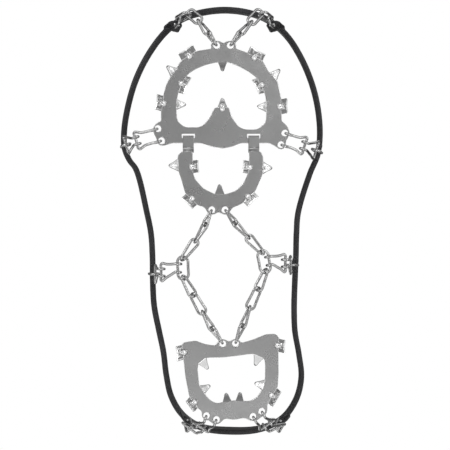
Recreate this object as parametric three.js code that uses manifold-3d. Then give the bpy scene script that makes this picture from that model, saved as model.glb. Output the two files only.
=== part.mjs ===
// Shoe ice cleats: three stamped steel spike plates, welded wire chains and an elastomer harness
// that stretches round a boot. Millimetres, worn position: +Z up, +Y to the toe, spikes down (-Z).
// The sole-side faces of the plates lie at z = 0, and the origin is on the toe plate's sole-side
// face, on its middle web. "right" is the wearer's right, +X; "left" is -X.
import * as THREE from 'three';
import { mergeVertices } from 'three/addons/utils/BufferGeometryUtils.js';
import Module from 'manifold-3d';

const PLATE_T = 1.5;            // sheet thickness
const HOLE_R = 2.3;             // chain holes in the plates
const WIRE = 1.9;               // chain wire diameter
const GAP = 0.3;                // running gap between interlocked pieces
const LINK_R = 3.15;            // half width of an oval link, to the wire's centre
const SLOT_X = 9.2;             // hinge slots, across
const SLOT_Y = 3.15;            // hinge slots, front to back
const HOOK_W = 7.7;             // width of the hinge hooks
const HINGE_Y = -3.99;          // hinge line between toe plate and ball plate
const HINGE_Z = -0.75;
const TAB_L = 10.5;             // big folded spikes
const TAB_BEND = 70;
const TOOTH_L = 8.6;            // small pointed spikes
const TOOTH_BEND = 50;
const BAND_T = 4;               // harness band thickness
const EAR_T = 2.2;              // thickness of the harness ears
const EAR_HOLE_R = 3.45;         // the ring's hole in a harness ear
const SIDES = 6;                // facets round a wire

const wasm = await Module();
wasm.setup();

// ---------- helpers ----------
function toSolid(geometry, matrix) {
  let g = geometry.clone();
  g.deleteAttribute('normal');
  g.deleteAttribute('uv');
  if (matrix) g.applyMatrix4(matrix);
  g = mergeVertices(g, 1e-4);
  const pos = g.getAttribute('position');
  const idx = Array.from(g.index.array);
  const a = new THREE.Vector3(), b = new THREE.Vector3(), c = new THREE.Vector3();
  const tris = [];
  let vol = 0;
  for (let i = 0; i < idx.length; i += 3) {
    if (idx[i] === idx[i + 1] || idx[i + 1] === idx[i + 2] || idx[i] === idx[i + 2]) continue;
    a.fromBufferAttribute(pos, idx[i]);
    b.fromBufferAttribute(pos, idx[i + 1]);
    c.fromBufferAttribute(pos, idx[i + 2]);
    vol += a.dot(b.clone().cross(c)) / 6;
    tris.push(idx[i], idx[i + 1], idx[i + 2]);
  }
  if (vol < 0) for (let i = 0; i < tris.length; i += 3) [tris[i], tris[i + 1]] = [tris[i + 1], tris[i]];
  return new wasm.Manifold(new wasm.Mesh({
    numProp: 3, vertProperties: new Float32Array(pos.array), triVerts: new Uint32Array(tris),
  }));
}
function toGeometry(solid) {
  const m = solid.getMesh();
  const g = new THREE.BufferGeometry();
  g.setAttribute('position', new THREE.BufferAttribute(new Float32Array(m.vertProperties), 3));
  g.setIndex(Array.from(m.triVerts));
  g.computeVertexNormals();
  return g;
}
// closed outline with every corner cut by r
function outline(points, r) {
  const out = [];
  const n = points.length;
  for (let i = 0; i < n; i++) {
    const p = new THREE.Vector2(...points[i]);
    const a = new THREE.Vector2(...points[(i + n - 1) % n]).sub(p);
    const b = new THREE.Vector2(...points[(i + 1) % n]).sub(p);
    const turn = Math.abs(a.angle() - b.angle());
    const straight = Math.abs(turn - Math.PI) < 0.25;
    if (straight) { out.push(p); continue; }
    const c = Math.min(r, a.length() * 0.35, b.length() * 0.35);
    out.push(p.clone().add(a.setLength(c)), p.clone().add(b.setLength(c)));
  }
  return out;
}
function circlePath(x, y, r, n = 10) {
  const pts = [];
  for (let i = 0; i < n; i++) pts.push(new THREE.Vector2(x + r * Math.cos(2 * Math.PI * i / n), y + r * Math.sin(2 * Math.PI * i / n)));
  return new THREE.Path(pts);
}
function sheet(outer, inners) {
  const s = new THREE.Shape(outer);
  s.holes = inners;
  const g = new THREE.ExtrudeGeometry(s, { depth: PLATE_T, bevelEnabled: false });
  g.translate(0, 0, -PLATE_T);
  return toSolid(g);
}
// A spike folded down from the plate's edge. b1, b2: ends of the fold line; the spike leaves the
// plate on the side of the point `away`. tip: tip width over base width. notch: depth of the V in a
// fishtail end.
function spike(b1, b2, away, length, bend, tip, notch) {
  const p = new THREE.Vector3(b1[0], b1[1], 0), q = new THREE.Vector3(b2[0], b2[1], 0);
  const u = q.clone().sub(p);
  const w = u.length();
  u.normalize();
  const mid = p.clone().add(q).multiplyScalar(0.5);
  const d = new THREE.Vector3(-u.y, u.x, 0);
  if (d.dot(new THREE.Vector3(away[0], away[1], 0).sub(mid)) < 0) { d.negate(); }
  const t = THREE.MathUtils.degToRad(bend);
  const v = d.clone().multiplyScalar(Math.cos(t)).add(new THREE.Vector3(0, 0, -Math.sin(t)));
  const h = w / 2, k = h * tip;
  const shape = new THREE.Shape(notch > 0
    ? [[-h, -0.4], [h, -0.4], [h, length * 0.35], [k, length], [0, length - notch], [-k, length], [-h, length * 0.35]].map(a => new THREE.Vector2(...a))
    : [[-h, -0.4], [h, -0.4], [k, length], [-k, length]].map(a => new THREE.Vector2(...a)));
  const g = new THREE.ExtrudeGeometry(shape, { depth: PLATE_T * 0.94, bevelEnabled: false });
  g.translate(0, 0, -PLATE_T * 0.47);
  const n = u.clone().cross(v);
  const m = new THREE.Matrix4().makeBasis(u, v, n);
  m.setPosition(mid.x, mid.y, -PLATE_T / 2);
  return toSolid(g, m);
}
function addSpikes(solid, list) {
  for (const s of list) {
    const [kind, b1, b2, away] = s;
    solid = solid.add(kind === 'tab'
      ? spike(b1, b2, away, TAB_L, TAB_BEND, 0.92, 1.6)
      : spike(b1, b2, away, TOOTH_L, TOOTH_BEND, 0.14, 0));
  }
  return solid;
}

// ---------- wire links ----------
function frameOf(d) {
  const side = new THREE.Vector3(0, 0, 1).cross(d).normalize();
  return [side, d.clone().cross(side)];
}
// Oval welded link from contact point a to contact point b. roll: angle of its plane at either end,
// 0 = lying flat. The wire is swept round a stadium, twisted evenly between the two angles.
function ovalLink(a, b, rollA, rollB, halfWidth = LINK_R) {
  const A = new THREE.Vector3(...a), B = new THREE.Vector3(...b);
  const d = B.clone().sub(A);
  const reach = d.length() / 2 + (WIRE + GAP) / 2;
  d.normalize();
  const mid = A.clone().add(B).multiplyScalar(0.5);
  const [l0, v0] = frameOf(d);
  const c = reach - halfWidth;
  const path = [];
  for (let i = 0; i <= 6; i++) { const f = -Math.PI / 2 + Math.PI * i / 6; path.push([c + halfWidth * Math.cos(f), halfWidth * Math.sin(f)]); }
  path.push([0, halfWidth]);
  for (let i = 0; i <= 6; i++) { const f = Math.PI / 2 + Math.PI * i / 6; path.push([-c + halfWidth * Math.cos(f), halfWidth * Math.sin(f)]); }
  path.push([0, -halfWidth]);
  const n = path.length;
  const roll = s => THREE.MathUtils.degToRad(rollA + (rollB - rollA) * (s / reach + 1) / 2);
  const at = ([s, t]) => mid.clone().addScaledVector(d, s).addScaledVector(l0, t * Math.cos(roll(s))).addScaledVector(v0, t * Math.sin(roll(s)));
  const pts = path.map(at);
  const g = new THREE.TorusGeometry(1, 0.3, SIDES, n);
  const pos = g.getAttribute('position');
  for (let i = 0; i <= n; i++) {
    const k = i % n;
    const T = pts[(k + 1) % n].clone().sub(pts[(k + n - 1) % n]).normalize();
    const r = roll(path[k][0]);
    const bn = v0.clone().multiplyScalar(Math.cos(r)).addScaledVector(l0, -Math.sin(r));
    bn.addScaledVector(T, -bn.dot(T)).normalize();
    const N = T.clone().cross(bn);
    for (let j = 0; j <= SIDES; j++) {
      const v = 2 * Math.PI * j / SIDES;
      const p = pts[k].clone().addScaledVector(N, WIRE / 2 * Math.cos(v)).addScaledVector(bn, WIRE / 2 * Math.sin(v));
      pos.setXYZ(j * (n + 1) + i, p.x, p.y, p.z);
    }
  }
  return toGeometry(toSolid(g));
}
// Ladder link, one wire: an eye hooked round the bar at P, an arm, a flared shoulder, a crossbar at
// Q, and the same again mirrored. barP, barQ: directions of the two bars. eyes: half spacing of the
// eyes.
const EYE_R = 2.35, SHOULDER = 6.2, BAR_HALF = 4.4;
function ladderLink(P, Q, barP, barQ, eyes) {
  const p = new THREE.Vector3(...P), q = new THREE.Vector3(...Q);
  const u = q.clone().sub(p);
  const L = u.length();
  u.normalize();
  const v = new THREE.Vector3(...barP).normalize(), w = new THREE.Vector3(...barQ).normalize();
  const ue = u.clone().addScaledVector(v, -u.dot(v)).normalize();
  const n = ue.clone().cross(v);
  if (n.z > 0) n.negate();
  n.negate();
  const half = [];
  for (const deg of [20, 65, 110, 155, 200, 240]) {
    const t = THREE.MathUtils.degToRad(deg);
    half.push([0, 1, 0, EYE_R * Math.cos(t), EYE_R * Math.sin(t)]);
  }
  half.push([0, 1, 0, 0.6, -EYE_R]);
  // [along, blend from eye line, blend to crossbar line, eye plane u, eye plane n]
  const arm = [[L * 0.4, Math.max(eyes, 3.9), -1.6], [L * 0.64, 4.7, -0.8], [L * 0.82, 5.7, -0.25],
    [L - 0.7, SHOULDER, 0], [L + 0.15, BAR_HALF + 0.8, 0], [L, BAR_HALF - 0.9, 0]];
  const side = sign => half.map(h => p.clone().addScaledVector(v, sign * eyes).addScaledVector(ue, h[3]).addScaledVector(n, h[4]))
    .concat(arm.map(([a, b, c]) => {
      const f = Math.min(1, a / L), g = f * f * (3 - 2 * f);
      return p.clone().addScaledVector(u, a).addScaledVector(v, sign * b * (1 - g)).addScaledVector(w, sign * b * g).addScaledVector(n, c);
    }));
  const pts = side(1).concat(side(-1).reverse());
  const curve = new THREE.CatmullRomCurve3(pts, false, 'centripetal');
  const shape = new THREE.Shape();
  for (let j = 0; j < SIDES; j++) {
    const t = 2 * Math.PI * j / SIDES;
    if (j === 0) shape.moveTo(WIRE / 2 * Math.cos(t), WIRE / 2 * Math.sin(t)); else shape.lineTo(WIRE / 2 * Math.cos(t), WIRE / 2 * Math.sin(t));
  }
  return toGeometry(toSolid(new THREE.ExtrudeGeometry(shape, { steps: 34, bevelEnabled: false, extrudePath: curve })));
}

// ---------- toe plate ----------
const TOE_OUTER = [[7.35, 60.55], [7.98, 63.7], [6.3, 65.59], [3.71, 66.08], [1.05, 65.59], [-1.05, 64.26], [-3.15, 65.59], [-5.81, 66.08], [-8.4, 65.59], [-10.08, 63.7], [-9.66, 60.55], [-16.8, 58.1], [-28.56, 52.08], [-32.9, 44.1], [-38.85, 37.8], [-41.51, 25.9], [-41.72, 14.14], [-41.86, 9.8], [-45.01, 7.14], [-46.9, 4.34], [-47.39, 1.4], [-46.2, -2.1], [-44.8, -4.2], [-44.66, -7.35], [-43.05, -9.8], [-40.25, -10.15], [-37.38, -7.91], [-32.9, -5.74], [-12.81, -5.74], [-7, -8.19], [0, -9.52], [7.28, -8.19], [15.12, -5.74], [35.21, -5.74], [40.74, -7.63], [43.75, -7.42], [45.5, -5.25], [45.92, -2.45], [47.88, 1.05], [48.16, 4.9], [47.18, 7.28], [44.8, 8.96], [42.7, 10.08], [42.7, 16.38], [41.09, 28], [39.2, 35], [36.4, 40.6], [28.7, 52.15], [17.5, 58.94]];
const TOE_INNER = [[10.85, 49.28], [3.36, 50.96], [-3.92, 50.82], [-11.2, 48.3], [-17.5, 44.94], [-24.01, 40.39], [-28, 33.6], [-30.52, 27.3], [-31.22, 17.5], [-30.66, 8.82], [-24.5, 3.85], [-16.1, 3.85], [-11.69, 5.74], [-7.21, 11.9], [-4.9, 18.9], [-3.85, 19.46], [3.5, 19.46], [5.46, 18.62], [9.52, 10.78], [15.12, 5.46], [26.25, 5.46], [31.15, 9.8], [31.85, 17.5], [31.15, 28], [28.35, 35], [24.36, 42.28], [18.2, 46.34]];
const TOE_HOLES = [[3.71, 62.72], [-5.81, 62.72], [44.87, 4.48], [42.35, -3.99], [-44.1, 1.4], [-41.3, -6.72]];
const TOE_SPIKES = [
  ['tab', [18.2, 59.08], [28.35, 52.5], [28, 64.4]],
  ['tab', [-17.85, 57.82], [-28.42, 51.94], [-28, 64.4]],
  ['tab', [41.09, 27.51], [42.56, 16.8], [50.4, 23.1]],
  ['tab', [-41.51, 25.2], [-41.65, 14.7], [-51.1, 20.3]],
  ['tab', [24.92, 41.3], [30.52, 29.75], [15.4, 28]],
  ['tab', [-24.36, 39.76], [-29.54, 29.68], [-12.6, 28]],
  ['tooth', [30.8, 47.04], [36.12, 40.46], [43.4, 52.5]],
  ['tooth', [-32.9, 43.89], [-38.5, 38.08], [-47.6, 51.1]],
  ['tooth', [2.8, 50.68], [-3.5, 50.68], [0, 31.5]],
  ['tooth', [3.22, 19.6], [-3.78, 19.6], [0, 38.5]],
  ['tooth', [31.36, 25.2], [31.78, 17.5], [1.4, 21]],
  ['tooth', [-30.87, 23.8], [-31.15, 15.82], [1.4, 19.6]],
];
const SLOTS = [[23.56, -0.66], [-22.19, -0.66]];
function slotPath([x, y]) {
  const a = SLOT_X / 2, b = SLOT_Y / 2, c = 0.6;
  return new THREE.Path([[-a, -b + c], [-a + c, -b], [a - c, -b], [a, -b + c], [a, b - c], [a - c, b], [-a + c, b], [-a, b - c]].map(q => new THREE.Vector2(x + q[0], y + q[1])));
}
const toePlate = addSpikes(sheet(outline(TOE_OUTER, 1.2),
  [new THREE.Path(outline(TOE_INNER, 1.6)), ...TOE_HOLES.map(h => circlePath(h[0], h[1], HOLE_R)), ...SLOTS.map(slotPath)]), TOE_SPIKES);

// ---------- ball plate ----------
const BALL_OUTER = [[28.14, -11.34], [30.73, -13.65], [31.22, -17.5], [30.38, -25.9], [28.49, -31.29], [25.97, -40.25], [22.4, -45.85], [16.8, -49.35], [12.25, -50.75], [10.57, -53.62], [9.31, -55.3], [7.14, -56], [4.76, -55.3], [2.52, -54.04], [0.28, -55.3], [-2.1, -56], [-4.48, -55.3], [-5.74, -53.34], [-7.7, -50.75], [-12.6, -48.86], [-18.2, -45.15], [-23.45, -39.13], [-28.28, -28], [-28.91, -21.7], [-28.84, -14.7], [-26.88, -11.34], [-18.9, -11.34], [-19.04, -17.5], [-17.92, -27.3], [-15.05, -33.53], [-9.45, -39.13], [-2.8, -41.3], [5.04, -41.37], [12.88, -37.45], [18.41, -31.29], [20.02, -26.6], [20.58, -17.5], [20.44, -11.34]];
const BALL_HOLES = [[7.14, -52.36], [-2.1, -52.36]];
const BALL_SPIKES = [
  ['tooth', [31.15, -16.45], [30.31, -25.9], [43.4, -21]],
  ['tooth', [-28.84, -18.2], [-28.35, -27.72], [-40.6, -23.1]],
  ['tab', [25.48, -41.3], [17.64, -48.86], [29.4, -53.9]],
  ['tab', [-22.82, -40.18], [-15.12, -47.32], [-28, -53.9]],
  ['tab', [20.51, -17.85], [20.02, -26.6], [1.4, -21.7]],
  ['tab', [-18.97, -18.2], [-17.99, -27.02], [1.4, -22.4]],
  ['tooth', [5.18, -41.16], [-1.82, -41.16], [1.4, -17.5]],
];
// Hook in side view (front to back, up), about the hinge line: out of the ball plate, under the toe
// plate's rear bar, up through its slot and back over the bar.
const HOOK = [[-8.4, -0.7], [-7.6, -0.72], [-5.4, -3.2], [3.0, -3.2], [3.55, -2.6], [3.55, 2.6], [3.0, 3.1], [-1.6, 3.1], [-1.6, 1.7], [2.1, 1.7], [2.1, -1.7], [-4.6, -1.7], [-6.9, 0.7], [-8.4, 0.7]];
function hook(x) {
  const g = new THREE.ExtrudeGeometry(new THREE.Shape(HOOK.map(a => new THREE.Vector2(...a))), { depth: HOOK_W, bevelEnabled: false });
  g.translate(0, 0, -HOOK_W / 2);
  const m = new THREE.Matrix4().makeBasis(new THREE.Vector3(0, 1, 0), new THREE.Vector3(0, 0, 1), new THREE.Vector3(1, 0, 0));
  m.setPosition(x, HINGE_Y, HINGE_Z);
  return toSolid(g, m);
}
let ballPlate = addSpikes(sheet(outline(BALL_OUTER, 1.4), BALL_HOLES.map(h => circlePath(h[0], h[1], HOLE_R))), BALL_SPIKES);
for (const x of [23.59, -22.26]) ballPlate = ballPlate.add(hook(x));

// ---------- heel plate ----------
const HEEL_OUTER = [[28.35, -145.95], [25.2, -144.9], [18.41, -143.99], [11.76, -146.44], [5.25, -147.42], [3.08, -145.04], [2.1, -143.64], [-0.56, -142.73], [-3.15, -143.64], [-5.04, -144.62], [-7, -143.5], [-9.45, -142.52], [-11.9, -143.36], [-13.65, -145.6], [-21.7, -143.22], [-30.66, -139.51], [-37.38, -139.16], [-40.32, -141.82], [-39.48, -152.32], [-39.62, -166.81], [-39.06, -176.4], [-31.78, -188.58], [-31.78, -193.2], [-30.45, -196.14], [-27.65, -197.4], [-24.92, -199.64], [-22.05, -200.55], [-19.25, -199.92], [-15.61, -198.1], [-8.33, -199.43], [-1.68, -198.66], [1.4, -201.88], [4.2, -202.79], [7.35, -201.74], [9.1, -200.06], [12.25, -199.57], [14.21, -197.05], [14, -193.62], [18.41, -190.26], [22.89, -183.4], [25.69, -169.05], [26.81, -158.48], [28, -151.9]];
const HEEL_INNER = [[10.64, -155.89], [0.56, -155.89], [-9.45, -154.77], [-21.7, -153.16], [-29.4, -156.52], [-30.24, -160.3], [-30.1, -171.29], [-27.65, -179.2], [-23.8, -183.96], [-19.53, -186.34], [-15.05, -186.2], [-9.1, -185.71], [-0.56, -186.9], [3.36, -188.02], [8.4, -185.78], [12.32, -180.81], [15.89, -175], [17.08, -164.5], [16.8, -160.72]];
const HEEL_HOLES = [[-0.56, -146.16], [-9.45, -145.88], [10.85, -196.49], [3.85, -199.22], [-21.7, -197.05], [-27.86, -193.48]];
const HEEL_SPIKES = [
  ['tab', [28.07, -147], [27.02, -157.36], [43.4, -151.9]],
  ['tab', [-40.04, -142.8], [-39.62, -151.9], [-54.6, -147]],
  ['tab', [-38.64, -177.38], [-32.34, -187.88], [-47.6, -188.3]],
  ['tab', [22.68, -183.68], [17.08, -191.24], [29.4, -193.9]],
  ['tooth', [16.66, -160.72], [10.78, -156.1], [-5.6, -171.5]],
  ['tooth', [-22.12, -153.58], [-29.12, -156.66], [-12.6, -171.5]],
  ['tooth', [-30.03, -171.22], [-27.79, -178.92], [-5.6, -168.7]],
  ['tooth', [-9.45, -185.92], [-15.26, -186.2], [-11.9, -164.5]],
  ['tooth', [-0.42, -186.9], [-6.72, -186.2], [-3.5, -164.5]],
  ['tooth', [15.61, -175.28], [11.76, -181.3], [-5.6, -168.7]],
];
const heelPlate = addSpikes(sheet(outline(HEEL_OUTER, 1.2),
  [new THREE.Path(outline(HEEL_INNER, 1.6)), ...HEEL_HOLES.map(h => circlePath(h[0], h[1], HOLE_R))]), HEEL_SPIKES);

// ---------- chain runs ----------
// Each run: contact points from the hole outwards, with the roll at both ends of every link.
const RUNS = {
  toe_chain_right: { hole: [3.71, 62.72, -0.75], pts: [[9.31, 71.26, 1.6], [15.96, 80.92, 9.9], [23.45, 88.2, 17.6], [30.8, 84.35, 26.2]],
    rolls: [[90, 118], [44, 76], [0, -4], ['square', 0]], ring: [33.6, 81.48, 33.4] },
  toe_chain_left: { hole: [-5.81, 62.72, -0.75], pts: [[-12.32, 71.4, 1.7], [-20.02, 80.08, 9.7], [-27.3, 88.55, 17.4], [-33.95, 84.28, 26.2]],
    rolls: [[-90, -118], [-44, -76], [0, 4], ['square', 0]], ring: [-36.82, 81.48, 33.4] },
  arch_chain_right_front: { hole: [7.14, -52.36, -0.75], pts: [[11.83, -62.58, -3], [18.48, -74.2, -3], [27.58, -86.66, -3]],
    rolls: [[90, 128], [52, 84], [-24, -70]] },
  arch_chain_left_front: { hole: [-2.1, -52.36, -0.75], pts: [[-9.24, -61.53, -3], [-18.34, -71.61, -3], [-28.21, -82.46, -3]],
    rolls: [[-90, -128], [-52, -84], [24, 70]] },
  arch_chain_right_rear: { hole: [-0.56, -146.16, -0.75], pts: [[6.79, -135.38, -3], [13.3, -124.11, -3], [20.16, -112, -3], [27.02, -99.54, -3]],
    rolls: [[-90, -52], [-128, -92], [-18, -46], [30, 68]] },
  arch_chain_left_rear: { hole: [-9.45, -145.88, -0.75], pts: [[-14.28, -133.42, -3], [-19.32, -120.82, -3], [-25.2, -107.8, -3], [-30.66, -94.85, -3]],
    rolls: [[90, 52], [128, 92], [18, 46], [-30, -68]] },
};
const JUNCTIONS = {
  arch_junction_right: { pts: [[27.61, -86.2, -3], [26.99, -100, -3]], roll: 20 },
  arch_junction_left: { pts: [[-28.14, -82, -3], [-30.73, -95.3, -3]], roll: -20 },
};
const JUNCTION_R = 4.0;
// Ladders: middle of the bar under the first eyes and of the two crossbars, the directions of the
// three bars, half spacing of the first eyes, and the end of the ring in the harness ear.
const LADDERS = {
  ball_ladder_right: { at: [[46.34, -0.57, -0.75], [60.2, -4.0, 0.6], [68.0, -6.3, 11.4]], bars: [[0.285, 0.958, 0], [0.292, 0.956, 0], [0.292, 0.956, 0]], eyes: 4.42, ear: [68.9, -6.6, 23.4] },
  ball_ladder_left: { at: [[-45.4, -3.6, -0.75], [-57.9, -7.6, 0.6], [-66.6, -10.2, 10.8]], bars: [[-0.327, 0.945, 0], [-0.316, 0.949, 0], [-0.316, 0.949, 0]], eyes: 4.28, ear: [-68.4, -10.8, 23.0] },
  waist_ladder_right: { at: [[31.07, -93.1, -1.63], [42.8, -96.3, 2.0], [47.4, -97.8, 13.6]], bars: [[-0.043, 0.999, 0], [0, 1, 0], [0, 1, 0]], eyes: 2.9, ear: [49.2, -97.8, 25.6] },
  waist_ladder_left: { at: [[-33.14, -88.0, -1.63], [-44.5, -89.9, 2.6], [-48.8, -91.4, 14.2]], bars: [[0.194, 0.981, 0], [0, 1, 0], [0, 1, 0]], eyes: 2.9, ear: [-51.4, -91.8, 26.2] },
  heel_ladder_right: { at: [[8.39, -200.5, -0.75], [15.2, -205.8, 8.4], [23.4, -207.4, 18.6]], bars: [[0.932, 0.3635, 0], [0.834, 0.552, 0], [0.8, 0.6, 0]], eyes: 3.755, ear: [24.9, -203.6, 29.6] },
  heel_ladder_left: { at: [[-26.2, -197.8, -0.75], [-32.2, -204.0, 8.2], [-39.4, -207.2, 18.4]], bars: [[-0.865, 0.501, 0], [-0.824, 0.567, 0], [-0.908, 0.418, 0]], eyes: 3.56, ear: [-42.2, -204.3, 29.6] },
};
const RING_R = 3.2;

const group = new THREE.Group();
group.name = 'shoe_ice_cleats';
function addMesh(name, geometry, color, roughness, metalness) {
  const m = new THREE.Mesh(geometry, new THREE.MeshStandardMaterial({ color, roughness, metalness }));
  m.name = name;
  group.add(m);
}
const STEEL = [0x8f8f90, 0.38, 1.0], CHAIN = [0xc4c4c6, 0.22, 1.0], RUBBER = [0x17181a, 0.5, 0.0];
addMesh('toe_plate', toGeometry(toePlate), ...STEEL);
addMesh('ball_plate', toGeometry(ballPlate), ...STEEL);
addMesh('heel_plate', toGeometry(heelPlate), ...STEEL);

const ears = [];
for (const [name, run] of Object.entries(RUNS)) {
  // the first link's end wire lies in the plate's hole, 0.55 mm towards the chain
  const h = new THREE.Vector3(...run.hole);
  const level = new THREE.Vector3(...run.pts[0]).sub(h).setZ(0).normalize();
  const first = h.clone().addScaledVector(level, 0.55);
  const along = new THREE.Vector3(...run.pts[0]).sub(first).normalize();
  first.addScaledVector(along, (WIRE + GAP) / 2);
  const pts = [first, ...run.pts.map(q => new THREE.Vector3(...q))];
  let start = first, dir = null, plane = null, square = null;
  // The next link hooks round the wire of this link's end where it pulls: moves `start` there.
  const hookOn = (joint, target) => {
    const centre = joint.clone().addScaledVector(dir, (WIRE + GAP) / 2 - LINK_R);
    let d = target.clone().sub(joint).normalize();
    let e = d, wire = joint;
    for (let k = 0; k < 4; k++) {
      e = d.clone().addScaledVector(plane, -d.dot(plane)).normalize();
      wire = centre.clone().addScaledVector(e, LINK_R);
      d = target.clone().sub(wire).normalize();
    }
    start = wire.addScaledVector(d, -(WIRE + GAP) / 2);
    square = plane.clone().cross(e).cross(d).normalize();
    dir = target.clone().sub(start).normalize();
  };
  const rollOf = l => {
    const [l0, v0] = frameOf(dir);
    return THREE.MathUtils.radToDeg(Math.atan2(l.dot(v0), l.dot(l0)));
  };
  dir = pts[1].clone().sub(first).normalize();
  for (let i = 0; i + 1 < pts.length; i++) {
    if (i > 0) hookOn(pts[i], pts[i + 1]);
    let [ra, rb] = run.rolls[i];
    if (ra === 'square') { ra = rollOf(square); rb = ra; }
    addMesh(`${name}_${i + 1}`, ovalLink(start.toArray(), pts[i + 1].toArray(), ra, rb), ...CHAIN);
    const [l0, v0] = frameOf(dir), r = THREE.MathUtils.degToRad(rb);
    plane = v0.clone().multiplyScalar(Math.cos(r)).addScaledVector(l0, -Math.sin(r));
  }
  if (run.ring) {
    const e = new THREE.Vector3(...run.ring);
    hookOn(pts.at(-1), e);
    const roll = rollOf(square);
    addMesh(name.replace('chain', 'ring'), ovalLink(start.toArray(), e.toArray(), roll, roll, RING_R), ...CHAIN);
    ears.push({ at: e.clone().addScaledVector(dir, (WIRE + GAP) / 2), d: dir.clone(), across: square.clone(), reach: 9.5 });
  }
}
for (const [name, j] of Object.entries(JUNCTIONS)) addMesh(name, ovalLink(...j.pts, j.roll, j.roll, JUNCTION_R), ...CHAIN);
for (const [name, l] of Object.entries(LADDERS)) {
  addMesh(`${name}_1`, ladderLink(l.at[0], l.at[1], l.bars[0], l.bars[1], l.eyes), ...CHAIN);
  addMesh(`${name}_2`, ladderLink(l.at[1], l.at[2], l.bars[1], l.bars[2], 2.5), ...CHAIN);
  // end ring: round the second crossbar and through the harness ear
  const c = new THREE.Vector3(...l.at[2]), e = new THREE.Vector3(...l.ear);
  const d = e.clone().sub(c).normalize();
  const across = new THREE.Vector3(...l.bars[2]).cross(d).normalize();
  const [l0, v0] = frameOf(d);
  const roll = THREE.MathUtils.radToDeg(Math.atan2(across.dot(v0), across.dot(l0)));
  const from = c.clone().addScaledVector(d, -(WIRE + GAP) / 2);
  addMesh(name.replace('ladder', 'ring'), ovalLink(from.toArray(), e.toArray(), roll, roll, RING_R), ...CHAIN);
  ears.push({ at: e.clone().addScaledVector(d, (WIRE + GAP) / 2), d, across, reach: 8.5 });
}

// ---------- harness ----------
// A perimeter band round the boot above the sole: stations along its middle, with the height of its
// lower and upper edge. Cut into a front part, a rear part and the two stretches that bend between.
const FRONT = [[61.95, -23.1, 30, 43], [66.92, -16.1, 30, 43], [70.28, -7.7, 30, 43], [70.7, 3.5, 30, 43], [68.6, 18.9, 30, 43], [63, 39.9, 31.93, 44.93], [53.9, 59.5, 35.47, 48.47], [42, 75.95, 37.4, 50.4], [29.4, 86.1, 37.5, 50.5], [14.7, 91, 37.5, 50.5], [-2.1, 92.82, 37.5, 50.5], [-18.9, 90.86, 37.5, 50.5], [-32.9, 85.68, 37.5, 50.5], [-46.2, 74.9, 37.35, 50.35], [-57.4, 57.4, 35.11, 48.11], [-65.8, 35.7, 31.27, 44.27], [-69.72, 16.1, 30, 43], [-70.42, -0.7, 30, 43], [-68.6, -13.3, 30, 43], [-63.35, -25.9, 30, 43]];
const REAR_R = [[54.25, -53.9, 30, 43], [51.24, -69.3, 30, 43], [50.19, -86.1, 30, 43], [49.98, -102.9, 30, 43], [49, -121.1, 30, 43], [45.5, -139.3, 30.66, 43.66], [42.35, -154.7, 31.81, 44.81], [40.32, -171.5, 33.19, 46.19], [36.82, -186.9, 34.18, 47.18], [29.05, -199.85, 34.5, 47.5], [16.1, -209.02, 34.5, 49.87], [-5.6, -212.38, 34.5, 56.38], [-28, -210.42, 34.5, 49.9], [-43.75, -202.72, 34.5, 47.5], [-53.55, -189, 34.27, 47.27], [-57.26, -172.9, 33.3, 46.3], [-55.44, -156.1, 31.92, 44.92], [-52.5, -139.3, 30.66, 43.66], [-51.94, -121.1, 30, 43], [-52.5, -102.9, 30, 43], [-53.2, -86.1, 30, 43], [-53.62, -69.3, 30, 43], [-54.88, -53.9, 30, 43]];
function bandGeometry(stations) {
  const n = stations.length;
  const g = new THREE.BoxGeometry(1, 1, 1, n - 1, 1, 1);
  const pos = g.getAttribute('position');
  for (let i = 0; i < pos.count; i++) {
    const k = Math.round((pos.getX(i) + 0.5) * (n - 1));
    const s = stations[k];
    const a = stations[Math.max(0, k - 1)], b = stations[Math.min(n - 1, k + 1)];
    const t = new THREE.Vector2(b[0] - a[0], b[1] - a[1]).normalize();
    const side = pos.getY(i) > 0 ? 1 : -1;
    pos.setXYZ(i, s[0] - t.y * side * BAND_T / 2, s[1] + t.x * side * BAND_T / 2, pos.getZ(i) > 0 ? s[3] : s[2]);
  }
  return g;
}
function ear(e) {
  const across = e.across.clone().addScaledVector(e.d, -e.across.dot(e.d)).normalize();
  const n = e.d.clone().cross(across);
  const w = 5.3;
  const s = new THREE.Shape([[-3.4, -w + 2], [-4.9, -w + 3.6], [-4.9, w - 3.6], [-3.4, w - 2], [-1.5, w], [e.reach, w], [e.reach, -w], [-1.5, -w]].map(q => new THREE.Vector2(...q)));
  s.holes = [circlePath(0.1, 0, EAR_HOLE_R, 12)];
  const g = new THREE.ExtrudeGeometry(s, { depth: EAR_T, bevelEnabled: false });
  g.translate(0, 0, -EAR_T / 2);
  const m = new THREE.Matrix4().makeBasis(e.d, n, e.d.clone().cross(n));
  m.setPosition(e.at);
  return toSolid(g, m);
}
let front = toSolid(bandGeometry(FRONT));
let rear = toSolid(bandGeometry(REAR_R));
for (const e of ears) { if (e.at.y > -50) front = front.add(ear(e)); else rear = rear.add(ear(e)); }
addMesh('harness_front', toGeometry(front), ...RUBBER);
addMesh('harness_rear', toGeometry(rear), ...RUBBER);
function bridge(from, to) {
  // between the cut ends of front and rear, 0.4 mm short of each
  const a = new THREE.Vector3(from[0], from[1], 0), b = new THREE.Vector3(to[0], to[1], 0);
  const d = b.clone().sub(a).normalize();
  const st = [];
  for (let i = 0; i <= 3; i++) {
    const f = i / 3;
    const p = a.clone().lerp(b, f);
    if (i === 0) p.addScaledVector(d, 1.2);
    if (i === 3) p.addScaledVector(d, -1.2);
    st.push([p.x, p.y, from[2] + (to[2] - from[2]) * f, from[3] + (to[3] - from[3]) * f]);
  }
  return toGeometry(toSolid(bandGeometry(st)));
}
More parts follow.
